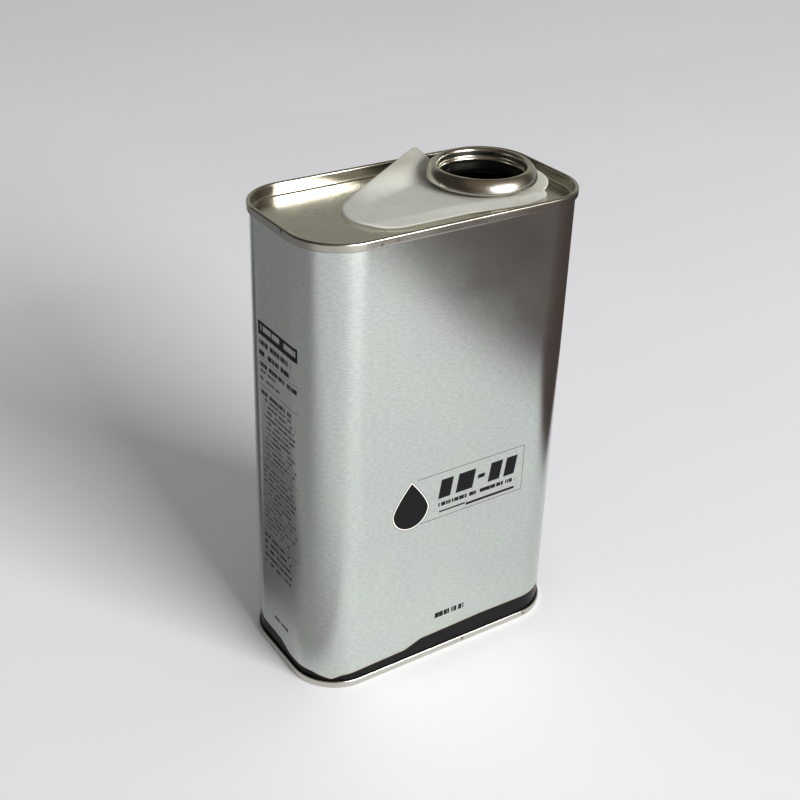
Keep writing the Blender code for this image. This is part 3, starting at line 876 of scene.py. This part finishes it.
def milky_plastic():
    """Thin milky polyethylene: light goes a little way in, with cloudy patches, faint rub marks
    and a soft shine. Painted shade: where the tab rises above a set height, its colour is mixed towards a
    dark grey."""
    material, nodes, shader = new_material("milky_plastic")
    place = nodes.add("ShaderNodeTexCoord").outputs["Object"]
    height = nodes.add("ShaderNodeSeparateXYZ", {0: place}).outputs["Z"]
    # Painted shade: above these heights the tab is coloured a dark grey.
    raised_part_painted_shade = nodes.step(height, 0.1786, 0.1845)
    cloud = nodes.noise(place, 110.0, 4.0, 0.6)
    rubs = nodes.noise(nodes.stretched(place, (500.0, 2400.0, 900.0)), 1.0, 3.0, 0.6)
    specks = nodes.group(specks_group, {"Vector": place, "Spacing": 0.0070, "Size": 0.026, "Share": 0.35})
    colour = nodes.mix(nodes.step(cloud, 0.35, 0.65), (0.615, 0.605, 0.50, 1), (0.675, 0.665, 0.55, 1))
    colour = nodes.mix(raised_part_painted_shade, colour, (0.24, 0.235, 0.20, 1))
    colour = nodes.mix(nodes.calc("MULTIPLY", specks["Mask"], 0.4), colour, (0.30, 0.26, 0.20, 1))
    rough = nodes.calc("ADD", 0.34, nodes.calc("MULTIPLY", rubs, 0.2))
    bump = nodes.add("ShaderNodeBump", {"Strength": 0.25, "Distance": 0.00004, "Height": rubs})
    for socket, value in (("Base Color", colour), ("Roughness", rough), ("Normal", bump.outputs["Normal"])):
        nodes.tree.links.new(value, shader.inputs[socket])
    shader.inputs["Subsurface Weight"].default_value = 1.0
    shader.inputs["Subsurface Radius"].default_value = (0.0038, 0.0037, 0.0035)
    shader.inputs["Subsurface Scale"].default_value = 1.0
    shader.inputs["IOR"].default_value = 1.5
    return material


tab.data.materials.append(milky_plastic())
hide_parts("neck_tab", "neck_tab_free_end")
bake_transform(tab)


# ---------------------------------------------------------------- studio
# A plain pale floor and a large soft window light from the front, with two cards that only
# reflections see, which paint darker reflections on the can: a dark one for the dim room past
# the right edge of the table's pale sheet, and a grey one at the left, where the room is dim.


def flat_sheet(name, low, high, height):
    """A level rectangle from its low corner to its high one."""
    x, y = zip(low, high)
    points = [(x[0], y[0], height), (x[1], y[0], height), (x[1], y[1], height), (x[0], y[1], height)]
    mesh = bpy.data.meshes.new(name)
    mesh.from_pydata(points, [], [(0, 1, 2, 3)])
    made = bpy.data.objects.new(name, mesh)
    bpy.context.scene.collection.objects.link(made)
    return made


floor = flat_sheet("floor", (-6, -6), (6, 6), 0.0)
material, nodes, shader = new_material("pale_table")
place = nodes.add("ShaderNodeTexCoord").outputs["Object"]
uneven = nodes.noise(place, 4.0, 3.0)
nodes.tree.links.new(
    nodes.mix(uneven, (0.76, 0.76, 0.775, 1), (0.80, 0.80, 0.81, 1)),
    shader.inputs["Base Color"],
)
shader.inputs["Roughness"].default_value = 0.6
shader.inputs["Specular IOR Level"].default_value = 0.2
floor.data.materials.append(material)

# Painted reflection: a dark card that fades in along a slanting line and shows only in reflections.
card = flat_sheet("dark_card", (0.10, -1.6), (1.9, 0.60), 0.001)
material, nodes, shader = new_material("dark_card")
place = nodes.add("ShaderNodeTexCoord").outputs["Object"]
flat = nodes.add("ShaderNodeSeparateXYZ", {0: place}).outputs
slanting = nodes.calc("ADD", flat["X"], nodes.calc("MULTIPLY", flat["Y"], 0.10))
drawn_back = nodes.calc("MULTIPLY", nodes.step(flat["Y"], -0.04, 0.08), 0.075)
beyond = nodes.calc("SUBTRACT", slanting, drawn_back)
nodes.tree.links.new(nodes.step(beyond, 0.126, 0.182), shader.inputs["Alpha"])
shader.inputs["Base Color"].default_value = (0.06, 0.035, 0.03, 1)
shader.inputs["Roughness"].default_value = 1.0
card.data.materials.append(material)
card.visible_camera = False
card.visible_diffuse = False
card.visible_shadow = False

# Painted reflection: a dark card, seen only in reflections, which darkens what the can's left side mirrors.
grey_card = flat_sheet("grey_card", (-1.6, -0.35), (-0.057, 1.6), 0.0012)
material, nodes, shader = new_material("grey_card")
place = nodes.add("ShaderNodeTexCoord").outputs["Object"]
flat = nodes.add("ShaderNodeSeparateXYZ", {0: place}).outputs
dim_behind = nodes.calc("MULTIPLY", nodes.step(flat["Y"], -0.17, 0.02), 0.60)
dim_beside = nodes.step(flat["X"], -0.054, -0.075)
# Painted shade in the reflections: darker still close behind the can's left side.
dim_close = nodes.calc("MULTIPLY", nodes.step(flat["Y"], 0.0, 0.05), 0.25)
dim_close = nodes.calc("MULTIPLY", dim_close, nodes.step(flat["X"], -0.15, -0.11))
dim = nodes.calc("MULTIPLY", nodes.calc("ADD", dim_behind, dim_close), dim_beside)
nodes.tree.links.new(dim, shader.inputs["Alpha"])
shader.inputs["Base Color"].default_value = (0.07, 0.065, 0.07, 1)
shader.inputs["Roughness"].default_value = 1.0
grey_card.data.materials.append(material)
grey_card.visible_camera = False
grey_card.visible_diffuse = False
grey_card.visible_shadow = False


def window(name, azimuth, elevation, distance, size, power, colour):
    """An area light at an azimuth from +Y towards +X and an elevation, turned to the can."""
    a, e = math.radians(azimuth), math.radians(elevation)
    towards = Vector((math.sin(a) * math.cos(e), math.cos(a) * math.cos(e), math.sin(e)))
    light = bpy.data.lights.new(name, "AREA")
    light.shape = "RECTANGLE"
    light.size, light.size_y = size
    light.energy = power
    light.color = colour
    made = bpy.data.objects.new(name, light)
    made.location = Vector((0, 0, 0.09)) + distance * towards
    made.rotation_euler = towards.to_track_quat("Z", "Y").to_euler()
    bpy.context.scene.collection.objects.link(made)
    return made


window("window", 167, 21, 4.0, (2.5, 1.5), 300, (1.0, 1.0, 0.99))

world = bpy.data.worlds.new("room")
world.use_nodes = True
bpy.context.scene.world = world
nodes = Nodes(world.node_tree)
# Painted reflections: glossy rays see a room, a dim brown wall in front and a paler one at the back, which
# lights nothing else. Other rays from the world see an even grey, and the camera sees a pale backdrop.
ray = nodes.add("ShaderNodeLightPath").outputs
way = nodes.add("ShaderNodeTexCoord").outputs["Generated"]
facing = {0: way, 1: (0.56, 0.83, 0.0)}
towards_wall = nodes.add("ShaderNodeVectorMath", facing, operation="DOT_PRODUCT").outputs["Value"]
reflected_back_wall = nodes.step(towards_wall, 0.45, 0.85)
facing = {0: way, 1: (0.10, -0.75, 0.65)}
towards_front = nodes.add("ShaderNodeVectorMath", facing, operation="DOT_PRODUCT").outputs["Value"]
reflected_front_wall = nodes.step(towards_front, 0.30, 0.85)
reflected_room_colour = nodes.mix(reflected_front_wall, (0.045, 0.036, 0.030, 1), (0.17, 0.125, 0.09, 1))
reflected_room_colour = nodes.mix(reflected_back_wall, reflected_room_colour, (0.34, 0.34, 0.29, 1))
pale_room = (0.60, 0.60, 0.61, 1)
seen = nodes.mix(ray["Is Glossy Ray"], (0.33, 0.33, 0.34, 1), reflected_room_colour)
seen = nodes.mix(ray["Is Camera Ray"], seen, pale_room)
background = world.node_tree.nodes["Background"]
world.node_tree.links.new(seen, background.inputs["Color"])
background.inputs["Strength"].default_value = 1.0

# The camera: level with a seated person's eye, turned down and a little rolled.
CAMERA_PLACE = (-0.2401, -0.3498, 0.3382)
CAMERA_HEADING = math.radians(34.046)
CAMERA_DOWN = math.radians(29.568)
CAMERA_ROLL = math.radians(1.934)

ahead = Vector(
    (
        math.sin(CAMERA_HEADING) * math.cos(CAMERA_DOWN),
        math.cos(CAMERA_HEADING) * math.cos(CAMERA_DOWN),
        -math.sin(CAMERA_DOWN),
    )
)
level_right = Vector((math.cos(CAMERA_HEADING), -math.sin(CAMERA_HEADING), 0))
level_up = level_right.cross(ahead)
right = math.cos(CAMERA_ROLL) * level_right + math.sin(CAMERA_ROLL) * level_up
up = right.cross(ahead)
lens = bpy.data.cameras.new("camera")
lens.lens = 58.94
lens.clip_start = 0.01
camera = bpy.data.objects.new("camera", lens)
camera.matrix_world = Matrix.Translation(CAMERA_PLACE) @ Matrix((right, up, -ahead)).transposed().to_4x4()
bpy.context.scene.collection.objects.link(camera)
bpy.context.scene.camera = camera
bpy.context.scene.view_settings.view_transform = "Standard"
